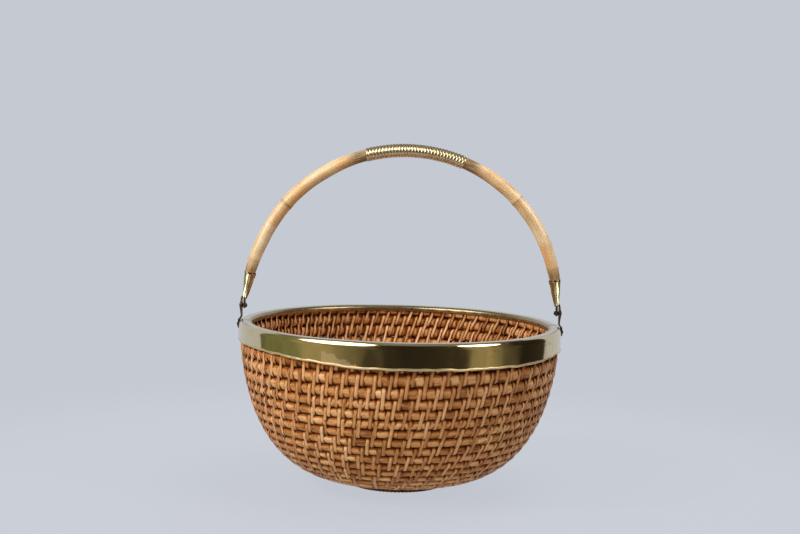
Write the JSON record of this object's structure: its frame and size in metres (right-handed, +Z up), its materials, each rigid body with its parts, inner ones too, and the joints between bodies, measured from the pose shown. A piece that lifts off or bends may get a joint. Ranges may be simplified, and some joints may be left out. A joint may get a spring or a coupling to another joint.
{
  "type": "woven fruit basket",
  "caption": "Round coiled-rattan bowl basket with a polished brass rim band and a swinging cane handle with a wire-wound grip.",
  "frame": {"origin": "on the floor plane, under the middle of the bowl", "axes": "+Z up; X along the handle's pivot line; -Y towards the viewer of the basket's front"},
  "size_m": [0.2652, 0.261, 0.2767],
  "materials": {
    "rattan_rod": "satin",
    "rattan_strand": "satin",
    "pale_cane": "satin",
    "polished_brass": "polished",
    "aged_brass": "worn",
    "brass_wire": "polished",
    "tarnished_brass": "tarnished"
  },
  "bodies": {
    "bowl": {"base_coil": "rattan_rod", "base_lashing": "rattan_strand", "wall_coil": "rattan_rod", "outer_lashing": "rattan_strand", "inner_lashing": "rattan_strand", "foot_coil": "rattan_rod", "foot_lashing": "rattan_strand", "rim_rod": "rattan_rod", "rim_band": "polished_brass", "left_ear": "tarnished_brass", "right_ear": "tarnished_brass", "left_ear_nail": "tarnished_brass", "right_ear_nail": "tarnished_brass", "left_pin": "tarnished_brass", "right_pin": "tarnished_brass"},
    "handle": {"left_tongue": "tarnished_brass", "right_tongue": "tarnished_brass", "left_ferrule": "aged_brass", "right_ferrule": "aged_brass", "cane_hoop": "pale_cane", "grip_winding": "brass_wire"}
  },
  "joints": [
    {"name": "handle_swing", "type": "hinge", "parent": "bowl", "child": "handle", "pos_m": [0, 0, 0.1426], "axis": [1, 0, 0], "range_deg": [-91, 91]}
  ]
}
